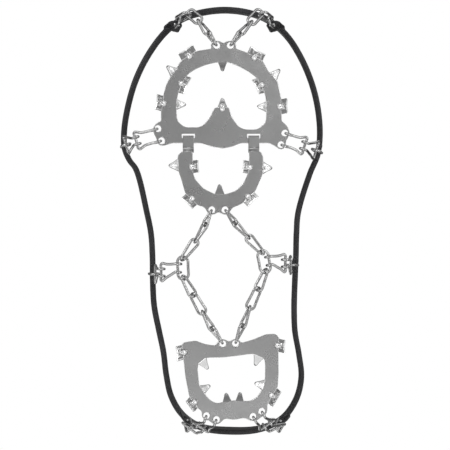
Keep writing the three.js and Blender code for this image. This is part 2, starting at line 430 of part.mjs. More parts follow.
addMesh('harness_bridge_right', bridge(FRONT[0], REAR_R[0]), ...RUBBER);
addMesh('harness_bridge_left', bridge(FRONT.at(-1), REAR_R.at(-1)), ...RUBBER);

export default group;
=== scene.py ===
import math
import bpy, bmesh
import numpy as np
from mathutils import Vector, Matrix, noise


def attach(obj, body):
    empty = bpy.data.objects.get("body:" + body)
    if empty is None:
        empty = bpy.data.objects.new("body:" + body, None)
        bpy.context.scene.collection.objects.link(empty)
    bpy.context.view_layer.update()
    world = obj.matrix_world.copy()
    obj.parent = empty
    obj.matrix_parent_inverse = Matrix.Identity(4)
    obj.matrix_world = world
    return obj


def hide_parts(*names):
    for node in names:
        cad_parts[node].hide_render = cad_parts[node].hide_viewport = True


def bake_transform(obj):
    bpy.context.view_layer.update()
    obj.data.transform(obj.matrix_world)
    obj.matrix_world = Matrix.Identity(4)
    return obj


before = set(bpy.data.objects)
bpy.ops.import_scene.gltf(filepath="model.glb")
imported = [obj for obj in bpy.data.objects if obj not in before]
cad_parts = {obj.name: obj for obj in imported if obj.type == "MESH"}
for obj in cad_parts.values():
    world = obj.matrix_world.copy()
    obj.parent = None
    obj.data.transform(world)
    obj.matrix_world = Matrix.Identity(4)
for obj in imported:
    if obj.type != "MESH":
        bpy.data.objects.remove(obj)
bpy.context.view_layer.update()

MM = 0.001

# ------------------------------------------------------------------ camera
cam_data = bpy.data.cameras.new("camera")
cam = bpy.data.objects.new("camera", cam_data)
bpy.context.scene.collection.objects.link(cam)
bpy.context.scene.camera = cam
DIST = 1.25
cam.location = (-0.0021, -0.063, -DIST - 0.0015)
cam.rotation_euler = (0, math.pi, 0)
cam_data.sensor_width = 36
cam_data.lens = 36 * DIST / 0.315
cam_data.clip_start = 0.01
cam_data.clip_end = 60

# ------------------------------------------------------------------ data (mm)
PLATE_T, HOLE_R, WIRE, GAP, LINK_R = 1.5, 2.3, 1.9, 0.3, 3.15
SLOT_X, SLOT_Y, HINGE_Y, HINGE_Z, HOOK_W = 9.2, 3.15, -3.99, -0.75, 7.7
JUNCTION_R, RING_R, EYE_R, SHOULDER, BAR_HALF = 4.0, 3.2, 2.35, 6.2, 4.4
TOE_OUTER = [[7.35, 60.55], [7.98, 63.7], [6.3, 65.59], [3.71, 66.08], [1.05, 65.59], [-1.05, 64.26], [-3.15, 65.59], [-5.81, 66.08], [-8.4, 65.59], [-10.08, 63.7], [-9.66, 60.55], [-16.8, 58.1], [-28.56, 52.08], [-32.9, 44.1], [-38.85, 37.8], [-41.51, 25.9], [-41.72, 14.14], [-41.86, 9.8], [-45.01, 7.14], [-46.9, 4.34], [-47.39, 1.4], [-46.2, -2.1], [-44.8, -4.2], [-44.66, -7.35], [-43.05, -9.8], [-40.25, -10.15], [-37.38, -7.91], [-32.9, -5.74], [-12.81, -5.74], [-7, -8.19], [0, -9.52], [7.28, -8.19], [15.12, -5.74], [35.21, -5.74], [40.74, -7.63], [43.75, -7.42], [45.5, -5.25], [45.92, -2.45], [47.88, 1.05], [48.16, 4.9], [47.18, 7.28], [44.8, 8.96], [42.7, 10.08], [42.7, 16.38], [41.09, 28], [39.2, 35], [36.4, 40.6], [28.7, 52.15], [17.5, 58.94]]
TOE_INNER = [[10.85, 49.28], [3.36, 50.96], [-3.92, 50.82], [-11.2, 48.3], [-17.5, 44.94], [-24.01, 40.39], [-28, 33.6], [-30.52, 27.3], [-31.22, 17.5], [-30.66, 8.82], [-24.5, 3.85], [-16.1, 3.85], [-11.69, 5.74], [-7.21, 11.9], [-4.9, 18.9], [-3.85, 19.46], [3.5, 19.46], [5.46, 18.62], [9.52, 10.78], [15.12, 5.46], [26.25, 5.46], [31.15, 9.8], [31.85, 17.5], [31.15, 28], [28.35, 35], [24.36, 42.28], [18.2, 46.34]]
TOE_HOLES = [[3.71, 62.72], [-5.81, 62.72], [44.87, 4.48], [42.35, -3.99], [-44.1, 1.4], [-41.3, -6.72]]
SLOTS = [[23.56, -0.66], [-22.19, -0.66]]
BALL_OUTER = [[28.14, -11.34], [30.73, -13.65], [31.22, -17.5], [30.38, -25.9], [28.49, -31.29], [25.97, -40.25], [22.4, -45.85], [16.8, -49.35], [12.25, -50.75], [10.57, -53.62], [9.31, -55.3], [7.14, -56], [4.76, -55.3], [2.52, -54.04], [0.28, -55.3], [-2.1, -56], [-4.48, -55.3], [-5.74, -53.34], [-7.7, -50.75], [-12.6, -48.86], [-18.2, -45.15], [-23.45, -39.13], [-28.28, -28], [-28.91, -21.7], [-28.84, -14.7], [-26.88, -11.34], [-18.9, -11.34], [-19.04, -17.5], [-17.92, -27.3], [-15.05, -33.53], [-9.45, -39.13], [-2.8, -41.3], [5.04, -41.37], [12.88, -37.45], [18.41, -31.29], [20.02, -26.6], [20.58, -17.5], [20.44, -11.34]]
BALL_HOLES = [[7.14, -52.36], [-2.1, -52.36]]
HEEL_OUTER = [[28.35, -145.95], [25.2, -144.9], [18.41, -143.99], [11.76, -146.44], [5.25, -147.42], [3.08, -145.04], [2.1, -143.64], [-0.56, -142.73], [-3.15, -143.64], [-5.04, -144.62], [-7, -143.5], [-9.45, -142.52], [-11.9, -143.36], [-13.65, -145.6], [-21.7, -143.22], [-30.66, -139.51], [-37.38, -139.16], [-40.32, -141.82], [-39.48, -152.32], [-39.62, -166.81], [-39.06, -176.4], [-31.78, -188.58], [-31.78, -193.2], [-30.45, -196.14], [-27.65, -197.4], [-24.92, -199.64], [-22.05, -200.55], [-19.25, -199.92], [-15.61, -198.1], [-8.33, -199.43], [-1.68, -198.66], [1.4, -201.88], [4.2, -202.79], [7.35, -201.74], [9.1, -200.06], [12.25, -199.57], [14.21, -197.05], [14, -193.62], [18.41, -190.26], [22.89, -183.4], [25.69, -169.05], [26.81, -158.48], [28, -151.9]]
HEEL_INNER = [[10.64, -155.89], [0.56, -155.89], [-9.45, -154.77], [-21.7, -153.16], [-29.4, -156.52], [-30.24, -160.3], [-30.1, -171.29], [-27.65, -179.2], [-23.8, -183.96], [-19.53, -186.34], [-15.05, -186.2], [-9.1, -185.71], [-0.56, -186.9], [3.36, -188.02], [8.4, -185.78], [12.32, -180.81], [15.89, -175], [17.08, -164.5], [16.8, -160.72]]
HEEL_HOLES = [[-0.56, -146.16], [-9.45, -145.88], [10.85, -196.49], [3.85, -199.22], [-21.7, -197.05], [-27.86, -193.48]]
FRONT = [[61.95, -23.1, 30, 43], [66.92, -16.1, 30, 43], [70.28, -7.7, 30, 43], [70.7, 3.5, 30, 43], [68.6, 18.9, 30, 43], [63, 39.9, 31.93, 44.93], [53.9, 59.5, 35.47, 48.47], [42, 75.95, 37.4, 50.4], [29.4, 86.1, 37.5, 50.5], [14.7, 91, 37.5, 50.5], [-2.1, 92.82, 37.5, 50.5], [-18.9, 90.86, 37.5, 50.5], [-32.9, 85.68, 37.5, 50.5], [-46.2, 74.9, 37.35, 50.35], [-57.4, 57.4, 35.11, 48.11], [-65.8, 35.7, 31.27, 44.27], [-69.72, 16.1, 30, 43], [-70.42, -0.7, 30, 43], [-68.6, -13.3, 30, 43], [-63.35, -25.9, 30, 43]]
REAR = [[54.25, -53.9, 30, 43], [51.24, -69.3, 30, 43], [50.19, -86.1, 30, 43], [49.98, -102.9, 30, 43], [49, -121.1, 30, 43], [45.5, -139.3, 30.66, 43.66], [42.35, -154.7, 31.81, 44.81], [40.32, -171.5, 33.19, 46.19], [36.82, -186.9, 34.18, 47.18], [29.05, -199.85, 34.5, 47.5], [16.1, -209.02, 34.5, 49.87], [-5.6, -212.38, 34.5, 56.38], [-28, -210.42, 34.5, 49.9], [-43.75, -202.72, 34.5, 47.5], [-53.55, -189, 34.27, 47.27], [-57.26, -172.9, 33.3, 46.3], [-55.44, -156.1, 31.92, 44.92], [-52.5, -139.3, 30.66, 43.66], [-51.94, -121.1, 30, 43], [-52.5, -102.9, 30, 43], [-53.2, -86.1, 30, 43], [-53.62, -69.3, 30, 43], [-54.88, -53.9, 30, 43]]
TOE_SPIKES = [["tab", [18.2, 59.08], [28.35, 52.5], [28, 64.4]], ["tab", [-17.85, 57.82], [-28.42, 51.94], [-28, 64.4]], ["tab", [41.09, 27.51], [42.56, 16.8], [50.4, 23.1]], ["tab", [-41.51, 25.2], [-41.65, 14.7], [-51.1, 20.3]], ["tab", [24.92, 41.3], [30.52, 29.75], [15.4, 28]], ["tab", [-24.36, 39.76], [-29.54, 29.68], [-12.6, 28]], ["tooth", [30.8, 47.04], [36.12, 40.46], [43.4, 52.5]], ["tooth", [-32.9, 43.89], [-38.5, 38.08], [-47.6, 51.1]], ["tooth", [2.8, 50.68], [-3.5, 50.68], [0, 31.5]], ["tooth", [3.22, 19.6], [-3.78, 19.6], [0, 38.5]], ["tooth", [31.36, 25.2], [31.78, 17.5], [1.4, 21]], ["tooth", [-30.87, 23.8], [-31.15, 15.82], [1.4, 19.6]]]
BALL_SPIKES = [["tooth", [31.15, -16.45], [30.31, -25.9], [43.4, -21]], ["tooth", [-28.84, -18.2], [-28.35, -27.72], [-40.6, -23.1]], ["tab", [25.48, -41.3], [17.64, -48.86], [29.4, -53.9]], ["tab", [-22.82, -40.18], [-15.12, -47.32], [-28, -53.9]], ["tab", [20.51, -17.85], [20.02, -26.6], [1.4, -21.7]], ["tab", [-18.97, -18.2], [-17.99, -27.02], [1.4, -22.4]], ["tooth", [5.18, -41.16], [-1.82, -41.16], [1.4, -17.5]]]
HEEL_SPIKES = [["tab", [28.07, -147], [27.02, -157.36], [43.4, -151.9]], ["tab", [-40.04, -142.8], [-39.62, -151.9], [-54.6, -147]], ["tab", [-38.64, -177.38], [-32.34, -187.88], [-47.6, -188.3]], ["tab", [22.68, -183.68], [17.08, -191.24], [29.4, -193.9]], ["tooth", [16.66, -160.72], [10.78, -156.1], [-5.6, -171.5]], ["tooth", [-22.12, -153.58], [-29.12, -156.66], [-12.6, -171.5]], ["tooth", [-30.03, -171.22], [-27.79, -178.92], [-5.6, -168.7]], ["tooth", [-9.45, -185.92], [-15.26, -186.2], [-11.9, -164.5]], ["tooth", [-0.42, -186.9], [-6.72, -186.2], [-3.5, -164.5]], ["tooth", [15.61, -175.28], [11.76, -181.3], [-5.6, -168.7]]]
HOOK = [[-8.4, -0.7], [-7.6, -0.72], [-5.4, -3.2], [3.0, -3.2], [3.55, -2.6], [3.55, 2.6], [3.0, 3.1], [-1.6, 3.1], [-1.6, 1.7], [2.1, 1.7], [2.1, -1.7], [-4.6, -1.7], [-6.9, 0.7], [-8.4, 0.7]]
HOOK_X = [23.59, -22.26]
RUNS = {"toe_chain_right": {"hole": [3.71, 62.72, -0.75], "pts": [[9.31, 71.26, 1.6], [15.96, 80.92, 9.9], [23.45, 88.2, 17.6], [30.8, 84.35, 26.2]], "rolls": [[90, 118], [44, 76], [0, -4], ["square", 0]], "ring": [33.6, 81.48, 33.4]}, "toe_chain_left": {"hole": [-5.81, 62.72, -0.75], "pts": [[-12.32, 71.4, 1.7], [-20.02, 80.08, 9.7], [-27.3, 88.55, 17.4], [-33.95, 84.28, 26.2]], "rolls": [[-90, -118], [-44, -76], [0, 4], ["square", 0]], "ring": [-36.82, 81.48, 33.4]}, "arch_chain_right_front": {"hole": [7.14, -52.36, -0.75], "pts": [[11.83, -62.58, -3], [18.48, -74.2, -3], [27.58, -86.66, -3]], "rolls": [[90, 128], [52, 84], [-24, -70]]}, "arch_chain_left_front": {"hole": [-2.1, -52.36, -0.75], "pts": [[-9.24, -61.53, -3], [-18.34, -71.61, -3], [-28.21, -82.46, -3]], "rolls": [[-90, -128], [-52, -84], [24, 70]]}, "arch_chain_right_rear": {"hole": [-0.56, -146.16, -0.75], "pts": [[6.79, -135.38, -3], [13.3, -124.11, -3], [20.16, -112, -3], [27.02, -99.54, -3]], "rolls": [[-90, -52], [-128, -92], [-18, -46], [30, 68]]}, "arch_chain_left_rear": {"hole": [-9.45, -145.88, -0.75], "pts": [[-14.28, -133.42, -3], [-19.32, -120.82, -3], [-25.2, -107.8, -3], [-30.66, -94.85, -3]], "rolls": [[90, 52], [128, 92], [18, 46], [-30, -68]]}}
JUNCTIONS = {"arch_junction_right": {"pts": [[27.61, -86.2, -3], [26.99, -100, -3]], "roll": 20}, "arch_junction_left": {"pts": [[-28.14, -82, -3], [-30.73, -95.3, -3]], "roll": -20}}
LADDERS = {"ball_ladder_right": {"at": [[46.34, -0.57, -0.75], [60.2, -4.0, 0.6], [68.0, -6.3, 11.4]], "bars": [[0.285, 0.958, 0], [0.292, 0.956, 0], [0.292, 0.956, 0]], "eyes": 4.42, "ear": [68.9, -6.6, 23.4]}, "ball_ladder_left": {"at": [[-45.4, -3.6, -0.75], [-57.9, -7.6, 0.6], [-66.6, -10.2, 10.8]], "bars": [[-0.327, 0.945, 0], [-0.316, 0.949, 0], [-0.316, 0.949, 0]], "eyes": 4.28, "ear": [-68.4, -10.8, 23.0]}, "waist_ladder_right": {"at": [[31.07, -93.1, -1.63], [42.8, -96.3, 2.0], [47.4, -97.8, 13.6]], "bars": [[-0.043, 0.999, 0], [0, 1, 0], [0, 1, 0]], "eyes": 2.9, "ear": [49.2, -97.8, 25.6]}, "waist_ladder_left": {"at": [[-33.14, -88.0, -1.63], [-44.5, -89.9, 2.6], [-48.8, -91.4, 14.2]], "bars": [[0.194, 0.981, 0], [0, 1, 0], [0, 1, 0]], "eyes": 2.9, "ear": [-51.4, -91.8, 26.2]}, "heel_ladder_right": {"at": [[8.39, -200.5, -0.75], [15.2, -205.8, 8.4], [23.4, -207.4, 18.6]], "bars": [[0.932, 0.3635, 0], [0.834, 0.552, 0], [0.8, 0.6, 0]], "eyes": 3.755, "ear": [24.9, -203.6, 29.6]}, "heel_ladder_left": {"at": [[-26.2, -197.8, -0.75], [-32.2, -204.0, 8.2], [-39.4, -207.2, 18.4]], "bars": [[-0.865, 0.501, 0], [-0.824, 0.567, 0], [-0.908, 0.418, 0]], "eyes": 3.56, "ear": [-42.2, -204.3, 29.6]}}

# ------------------------------------------------------------------ materials
def new_mat(name):
    m = bpy.data.materials.new(name)
    m.use_nodes = True
    nt = m.node_tree
    for n in list(nt.nodes):
        nt.nodes.remove(n)
    out = nt.nodes.new("ShaderNodeOutputMaterial")
    b = nt.nodes.new("ShaderNodeBsdfPrincipled")
    nt.links.new(b.outputs[0], out.inputs[0])
    return m, nt, b


def node(nt, kind, **kw):
    n = nt.nodes.new(kind)
    for k, v in kw.items():
        if k in n.inputs:
            n.inputs[k].default_value = v
        else:
            setattr(n, k, v)
    return n


def noise_tex(nt, scale, detail=3, rough=0.5, stretch=None):
    tc = nt.nodes.new("ShaderNodeTexCoord")
    src = tc.outputs["Object"]
    if stretch:
        mp = nt.nodes.new("ShaderNodeMapping")
        mp.inputs["Scale"].default_value = stretch
        nt.links.new(src, mp.inputs[0])
        src = mp.outputs[0]
    t = nt.nodes.new("ShaderNodeTexNoise")
    t.inputs["Scale"].default_value = scale
    t.inputs["Detail"].default_value = detail
    t.inputs["Roughness"].default_value = rough
    nt.links.new(src, t.inputs["Vector"])
    return t.outputs["Fac"]


def ramp(nt, fac, stops):
    r = nt.nodes.new("ShaderNodeValToRGB")
    e = r.color_ramp.elements
    while len(e) < len(stops):
        e.new(0.5)
    for i, (p, c) in enumerate(stops):
        e[i].position = p
        e[i].color = (*c, 1) if len(c) == 3 else c
    nt.links.new(fac, r.inputs[0])
    return r.outputs[0]


def grey(v):
    return (v, v, v)


def bump(nt, b, layers):
    prev = None
    for fac, dist, strength in layers:
        n = nt.nodes.new("ShaderNodeBump")
        n.inputs["Distance"].default_value = dist
        n.inputs["Strength"].default_value = strength
        nt.links.new(fac, n.inputs["Height"])
        if prev:
            nt.links.new(prev, n.inputs["Normal"])
        prev = n.outputs[0]
    nt.links.new(prev, b.inputs["Normal"])


def steel_plate(name, base=0.37, rough=0.29, grain=0.25):
    m, nt, b = new_mat(name)
    b.inputs["Metallic"].default_value = 1.0
    big = noise_tex(nt, 38, 3, 0.55)
    fine = noise_tex(nt, 900, 2, 0.6)
    col = ramp(nt, big, [(0.30, grey(base * 0.93)), (0.70, grey(base * 1.05))])
    mix = node(nt, "ShaderNodeMix", data_type="RGBA", blend_type="MULTIPLY")
    mix.inputs[0].default_value = 1.0
    nt.links.new(col, mix.inputs[6])
    nt.links.new(ramp(nt, fine, [(0.25, grey(0.93)), (0.75, grey(1.0))]), mix.inputs[7])
    nt.links.new(mix.outputs[2], b.inputs["Base Color"])
    rr = ramp(nt, noise_tex(nt, 120, 4, 0.6), [(0.3, grey(rough - 0.03)), (0.7, grey(rough + 0.03))])
    nt.links.new(rr, b.inputs["Roughness"])
    bump(nt, b, [(noise_tex(nt, 1400, 2, 0.5), 0.00002, grain), (noise_tex(nt, 110, 2, 0.5), 0.00012, grain * 0.35)])
    return m


def steel_wire(name, base=0.50, rough=0.19):
    m, nt, b = new_mat(name)
    b.inputs["Metallic"].default_value = 1.0
    col = ramp(nt, noise_tex(nt, 260, 3, 0.6), [(0.3, grey(base * 0.92)), (0.7, grey(min(1, base * 1.06)))])
    nt.links.new(col, b.inputs["Base Color"])
    rr = ramp(nt, noise_tex(nt, 700, 3, 0.6), [(0.3, grey(rough - 0.05)), (0.75, grey(rough + 0.10))])
    nt.links.new(rr, b.inputs["Roughness"])
    bump(nt, b, [(noise_tex(nt, 1500, 2, 0.5), 0.00002, 0.15), (noise_tex(nt, 420, 2, 0.5), 0.00006, 0.15)])
    return m


def rubber(name):
    m, nt, b = new_mat(name)
    col = ramp(nt, noise_tex(nt, 60, 3, 0.5), [(0.3, (0.010, 0.010, 0.011)), (0.7, (0.017, 0.017, 0.019))])
    nt.links.new(col, b.inputs["Base Color"])
    rr = ramp(nt, noise_tex(nt, 150, 4, 0.6), [(0.3, grey(0.40)), (0.7, grey(0.52))])
    nt.links.new(rr, b.inputs["Roughness"])
    b.inputs["Specular IOR Level"].default_value = 0.45
    bump(nt, b, [(noise_tex(nt, 1100, 3, 0.6), 0.00005, 0.35), (noise_tex(nt, 90, 2, 0.5), 0.0002, 0.2)])
    return m


MAT_PLATE = steel_plate("stamped_steel")
# a much brighter copy of the plate steel (base 0.88 against 0.37): a painted highlight along the rounded edges, on
# the folded spikes and on the fold ribs
MAT_PAINTED_HIGHLIGHT_STEEL = steel_plate("painted_highlight_steel", 0.88, 0.20, 0.08)
MAT_WIRE = steel_wire("chain_wire")
MAT_RUBBER = rubber("harness_elastomer")

# ------------------------------------------------------------------ mesh helpers
def add_object(name, verts, faces, mat, smooth_angle=None):
    me = bpy.data.meshes.new(name)
    me.from_pydata([tuple(v) for v in verts], [], faces)
    me.validate()
    me.update()
    ob = bpy.data.objects.new(name, me)
    bpy.context.scene.collection.objects.link(ob)
    if mat:
        me.materials.append(mat)
    shade(ob, smooth_angle)
    return ob


def shade(ob, angle):
    me = ob.data
    me.polygons.foreach_set("use_smooth", [True] * len(me.polygons))
    if angle:
        me.set_sharp_from_angle(angle=math.radians(angle))
    me.update()


def apply_mods(ob):
    dg = bpy.context.evaluated_depsgraph_get()
    me = bpy.data.meshes.new_from_object(ob.evaluated_get(dg), preserve_all_data_layers=True, depsgraph=dg)
    old = ob.data
    ob.modifiers.clear()
    ob.data = me
    me.name = ob.name
    if old.users == 0:
        bpy.data.meshes.remove(old)
    return ob


def drop(ob):
    me = ob.data
    bpy.data.objects.remove(ob)
    if me.users == 0:
        bpy.data.meshes.remove(me)


def union(ob, others, how="UNION"):
    col = bpy.data.collections.new("cut")
    bpy.context.scene.collection.children.link(col)
    for o in others:
        for c in o.users_collection:
            c.objects.unlink(o)
        col.objects.link(o)
    md = ob.modifiers.new("u", "BOOLEAN")
    md.operation = how
    md.operand_type = "COLLECTION"
    md.collection = col
    md.solver = "EXACT"
    md.use_self = how == "UNION"
    apply_mods(ob)
    for o in others:
        drop(o)
    bpy.data.collections.remove(col)
    return ob


def clean(ob, dist=1e-6):
    bm = bmesh.new()
    bm.from_mesh(ob.data)
    bmesh.ops.remove_doubles(bm, verts=bm.verts, dist=dist)
    bmesh.ops.recalc_face_normals(bm, faces=bm.faces)
    bm.to_mesh(ob.data)
    bm.free()
    ob.data.update()


def rounded(points, r, k=5):
    out = []
    n = len(points)
    P = [Vector(p) for p in points]
    for i in range(n):
        p, a, b = P[i], P[i - 1], P[(i + 1) % n]
        da, db = a - p, b - p
        c = min(r, da.length * 0.48, db.length * 0.48)
        s, e = p + da.normalized() * c, p + db.normalized() * c
        for j in range(k + 1):
            t = j / k
            out.append(s * (1 - t) ** 2 + p * 2 * t * (1 - t) + e * t * t)
    return out


def circle(x, y, r, n=40):
    return [Vector((x + r * math.cos(2 * math.pi * i / n), y + r * math.sin(2 * math.pi * i / n))) for i in range(n)]


def plate_steel_and_painted_highlight(ob):
    """Flat faces take the tumbled finish; cut and rounded edges take the much brighter copy of the steel, a painted
    highlight along the edges.
    """
    ob.data.materials.clear()
    ob.data.materials.append(MAT_PLATE)
    ob.data.materials.append(MAT_PAINTED_HIGHLIGHT_STEEL)
    for poly in ob.data.polygons:
        poly.material_index = 0 if abs(poly.normal.z) > 0.95 else 1


def sheet(name, outer, inners, edge=0.42):
    """A flat blank with rounded-over edges, its upper face at z = 0."""
    cu = bpy.data.curves.new(name, "CURVE")
    cu.dimensions = "2D"
    cu.fill_mode = "BOTH"
    cu.extrude = (PLATE_T / 2 - edge) * MM
    cu.bevel_depth = edge * MM
    cu.offset = -edge * MM
    cu.bevel_resolution = 3
    for loop in [outer] + inners:
        sp = cu.splines.new("POLY")
        sp.points.add(len(loop) - 1)
        for q, v in zip(sp.points, loop):
            q.co = (v[0] * MM, v[1] * MM, 0, 1)
        sp.use_cyclic_u = True
    tmp = bpy.data.objects.new(name, cu)
    bpy.context.scene.collection.objects.link(tmp)
    bpy.context.view_layer.update()
    dg = bpy.context.evaluated_depsgraph_get()
    me = bpy.data.meshes.new_from_object(tmp.evaluated_get(dg), depsgraph=dg)
    bpy.data.objects.remove(tmp)
    bpy.data.curves.remove(cu)
    me.transform(Matrix.Translation((0, 0, -PLATE_T / 2 * MM)))
    ob = bpy.data.objects.new(name, me)
    bpy.context.scene.collection.objects.link(ob)
    clean(ob)
    plate_steel_and_painted_highlight(ob)
    return ob


def spike(name, b1, b2, away, big, peak):
    """A spike folded down out of the sheet along the line b1-b2, with a bend radius; big ones have a
    fishtail end."""
    p, q = Vector((*b1, 0)), Vector((*b2, 0))
    u = (q - p)
    w = u.length
    u.normalize()
    mid = (p + q) / 2
    d = Vector((-u.y, u.x, 0))
    if d.dot(Vector((*away, 0)) - mid) < 0:
        d = -d
    bend = math.radians(76 if peak == 2 else 70 if big else 50 if peak == 1 else 44)
    length = 10.5 if big else 8.6
    rad = 1.45
    inset = 0.75
    half = w / 2 * (1.0 if big else 1.0)
    nu, nv = (28 if big else 14), 30
    th = PLATE_T * 0.97

    def centre(s):
        # arc length from the fold's start, `inset` inside the sheet's edge
        a = rad * bend
        if s <= 0:
            return mid + d * (s - inset), Vector((0, 0, 1))
        if s < a:
            t = s / rad
            return mid + d * (-inset + rad * math.sin(t)) + Vector((0, 0, -rad * (1 - math.cos(t)))), d * math.sin(t) + Vector((0, 0, math.cos(t)))
        e = mid + d * (-inset + rad * math.sin(bend)) + Vector((0, 0, -rad * (1 - math.cos(bend))))
        v = d * math.cos(bend) + Vector((0, 0, -math.sin(bend)))
        return e + v * (s - a), d * math.sin(bend) + Vector((0, 0, math.cos(bend)))

    S = length + inset
    top, bot = [], []
    for j in range(nv + 1):
        for i in range(nu + 1):
            f = 2 * i / nu - 1
            if big:
                end = S - (0 if peak == 2 else 1.7 * (1 - abs(f)) ** 1.2)
                t = j / nv
                s = -1.6 + t * (end + 1.6)
                g = max(0.0, (s / S))
                x = f * half * (1 - 0.05 * g + (0.03 if g > 0.7 else 0))
            else:
                end = S
                t = j / nv
                s = -1.2 + t * (end + 1.2)
                g = max(0.0, min(1.0, s / S))
                x = f * ((half - 1.25) * (1 - g) ** 1.5 + 1.25 * math.sqrt(max(0.0, 1 - g ** 9)))
            c, n = centre(s)
            taper = 1.0 if s < S * 0.75 else 1.0 - 0.18 * (s - S * 0.75) / (S * 0.25)
            base = c + u * x + Vector((0, 0, -PLATE_T / 2))
            rise = max(0.0, min(1.0, (s - 2.2) / 2)) * 0.13 * math.cos(f * math.pi * 4.0) if big else 0.0
            top.append(base + n * (th / 2 * taper))
            bot.append(base - n * (th / 2 * taper + rise - 0.05))
    V = [v * MM for v in top + bot]
    N = (nu + 1) * (nv + 1)
    F = []
    idx = lambda i, j: j * (nu + 1) + i
    for j in range(nv):
        for i in range(nu):
            F.append((idx(i, j), idx(i + 1, j), idx(i + 1, j + 1), idx(i, j + 1)))
            F.append((N + idx(i, j + 1), N + idx(i + 1, j + 1), N + idx(i + 1, j), N + idx(i, j)))
    for j in range(nv):
        F.append((idx(0, j + 1), N + idx(0, j + 1), N + idx(0, j), idx(0, j)))
        F.append((idx(nu, j), N + idx(nu, j), N + idx(nu, j + 1), idx(nu, j + 1)))
    for i in range(nu):
        F.append((idx(i, 0), N + idx(i, 0), N + idx(i + 1, 0), idx(i + 1, 0)))
        F.append((idx(i + 1, nv), N + idx(i + 1, nv), N + idx(i, nv), idx(i, nv)))
    ob = add_object(name, V, F, MAT_PLATE)
    ob.data.materials.append(MAT_PAINTED_HIGHLIGHT_STEEL)
    # all spike faces except the flat faces of the peak-3 teeth take the brighter steel copy: a painted highlight on
    # the bent spikes
    for k, poly in enumerate(ob.data.polygons):
        poly.material_index = 0 if peak == 3 and k < 2 * nu * nv else 1
    clean(ob)
    md = ob.modifiers.new("b", "BEVEL")
    md.width = 0.22 * MM
    md.segments = 2
    md.limit_method = "ANGLE"
    md.angle_limit = math.radians(50)
    apply_mods(ob)
    parts = [ob]
    if big or peak == 1:
        # stiffening rib pressed across the fold, standing proud in its inner corner
        bm = bmesh.new()
        bmesh.ops.create_uvsphere(bm, u_segments=28, v_segments=18, radius=1)
        diag = (d * math.cos(bend / 2) - Vector((0, 0, 1)) * math.sin(bend / 2)).normalized()
        bis = (-d * math.sin(bend / 2) - Vector((0, 0, 1)) * math.cos(bend / 2)).normalized()
        c = mid - d * 0.95 + Vector((0, 0, -PLATE_T - 0.75))
        for v in bm.verts:
            x, y, z = v.co
            k = 1 - 0.30 * z
            v.co = (c + u * x * 2.2 * k + bis * y * 1.6 + diag * z * 2.75) * MM
        bmesh.ops.recalc_face_normals(bm, faces=bm.faces)
        me = bpy.data.meshes.new(name + "_rib")
        bm.to_mesh(me)
        bm.free()
        me.materials.append(MAT_PLATE)
        me.materials.append(MAT_PAINTED_HIGHLIGHT_STEEL)
        # the whole rib takes the brighter steel copy: a painted highlight on the fold
        for poly in me.polygons:
            poly.material_index = 1
        g = bpy.data.objects.new(name + "_rib", me)
        bpy.context.scene.collection.objects.link(g)
        parts.append(g)
    return parts


def slot_loop(c):
    a, b, k = SLOT_X / 2, SLOT_Y / 2, 0.7
    return rounded([(c[0] - a, c[1] - b), (c[0] + a, c[1] - b), (c[0] + a, c[1] + b), (c[0] - a, c[1] + b)], k, 4)


def hook(name, x):
    prof = rounded([(a, b) for a, b in HOOK], 0.9, 4)
    n = len(prof)
    V = [Vector((x + s * HOOK_W / 2, HINGE_Y + p[0], HINGE_Z + p[1])) * MM for s in (-1, 1) for p in prof]
    F = [tuple(range(n - 1, -1, -1)), tuple(range(n, 2 * n))]
    for i in range(n):
        j = (i + 1) % n
        F.append((i, j, n + j, n + i))
    ob = add_object(name, V, F, None)
    clean(ob)
    md = ob.modifiers.new("b", "BEVEL")
    md.width = 0.25 * MM
    md.segments = 2
    md.limit_method = "ANGLE"
    md.angle_limit = math.radians(50)
    apply_mods(ob)
    plate_steel_and_painted_highlight(ob)
    for poly in ob.data.polygons:
        poly.material_index = 0
    return ob


def plate(name, outer, inners, spikes, hooks=()):
    ob = sheet(name + "_steel", rounded(outer, 1.6, 4), inners)
    extra = []
    for i, s in enumerate(spikes):
        extra += spike(f"{name}_s{i}", s[1], s[2], s[3], s[0] == "tab", 1 if name == "toe_plate" and i == 9 else 2 if name == "heel_plate" and i in (2, 3) else 3 if (name, i) in (("toe_plate", 8), ("ball_plate", 6), ("heel_plate", 7), ("heel_plate", 8)) else 0)
    extra += [hook(f"{name}_h{i}", x) for i, x in enumerate(hooks)]
    union(ob, extra)
    clean(ob, 2e-7)
    shade(ob, 40)
    # the flat faces stay flat: a crisp line divides them from the rounded edges
    me = ob.data
    flat = [abs(poly.normal.z) > 0.9995 for poly in me.polygons]
    sides = {}
    for poly in me.polygons:
        for key in poly.edge_keys:
            sides.setdefault(key, set()).add(flat[poly.index])
    for e in me.edges:
        if len(sides.get(e.key, ())) == 2:
            e.use_edge_sharp = True
    me.update()
    return ob


# ------------------------------------------------------------------ wire links
def frame_of(d):
    side = Vector((0, 0, 1)).cross(d).normalized()
    return side, d.cross(side)


def tube_ring(pts, normals, r_at, sides=14):
    n = len(pts)
    V, F = [], []
    for k in range(n):
        T = (pts[(k + 1) % n] - pts[k - 1]).normalized()
        b = (normals[k] - T * normals[k].dot(T)).normalized()
        N = T.cross(b)
        r = r_at(k / n)
        for j in range(sides):
            t = 2 * math.pi * j / sides
            V.append((pts[k] + N * r * math.cos(t) + b * r * math.sin(t)) * MM)
    for k in range(n):
        m = (k + 1) % n
        for j in range(sides):
            q = (j + 1) % sides
            F.append((k * sides + j, m * sides + j, m * sides + q, k * sides + q))
    return V, F


